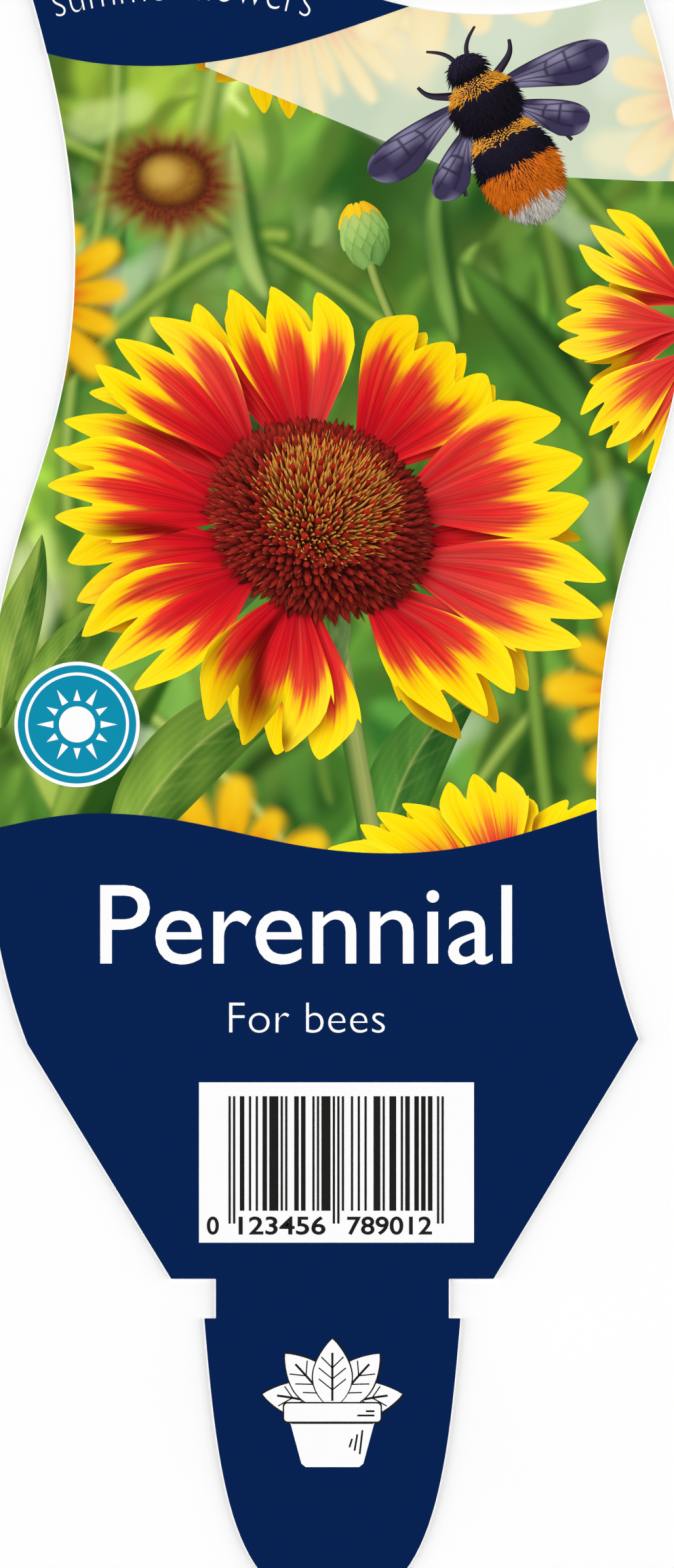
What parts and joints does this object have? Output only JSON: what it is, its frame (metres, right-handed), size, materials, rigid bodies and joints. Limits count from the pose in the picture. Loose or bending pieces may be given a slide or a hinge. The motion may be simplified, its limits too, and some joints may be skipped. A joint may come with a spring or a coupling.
{
  "type": "plant label",
  "caption": "Flat die-cut plastic plant label with a wavy printed head, a tapered shoulder, a notched neck and a short blunt stake that pushes into potting soil.",
  "frame": {"origin": "Middle of the label's bounding box on its back face, which lies on z = 0.", "axes": "+Z out of the printed front face, +Y along the label from the stake's tip to the head, +X across it to the right as it is read."},
  "size_m": [0.082, 0.1944, 0.0005],
  "materials": {
    "white_plastic": "White polypropylene sheet, calendered, with a satin face and cleanly cut edges.",
    "blue_ink": "Solid navy ink under a clear satin varnish.",
    "picture_ink": "Full-colour printed picture under a clear satin varnish."
  },
  "bodies": {
    "root": {"label": "white_plastic"}
  },
  "joints": []
}
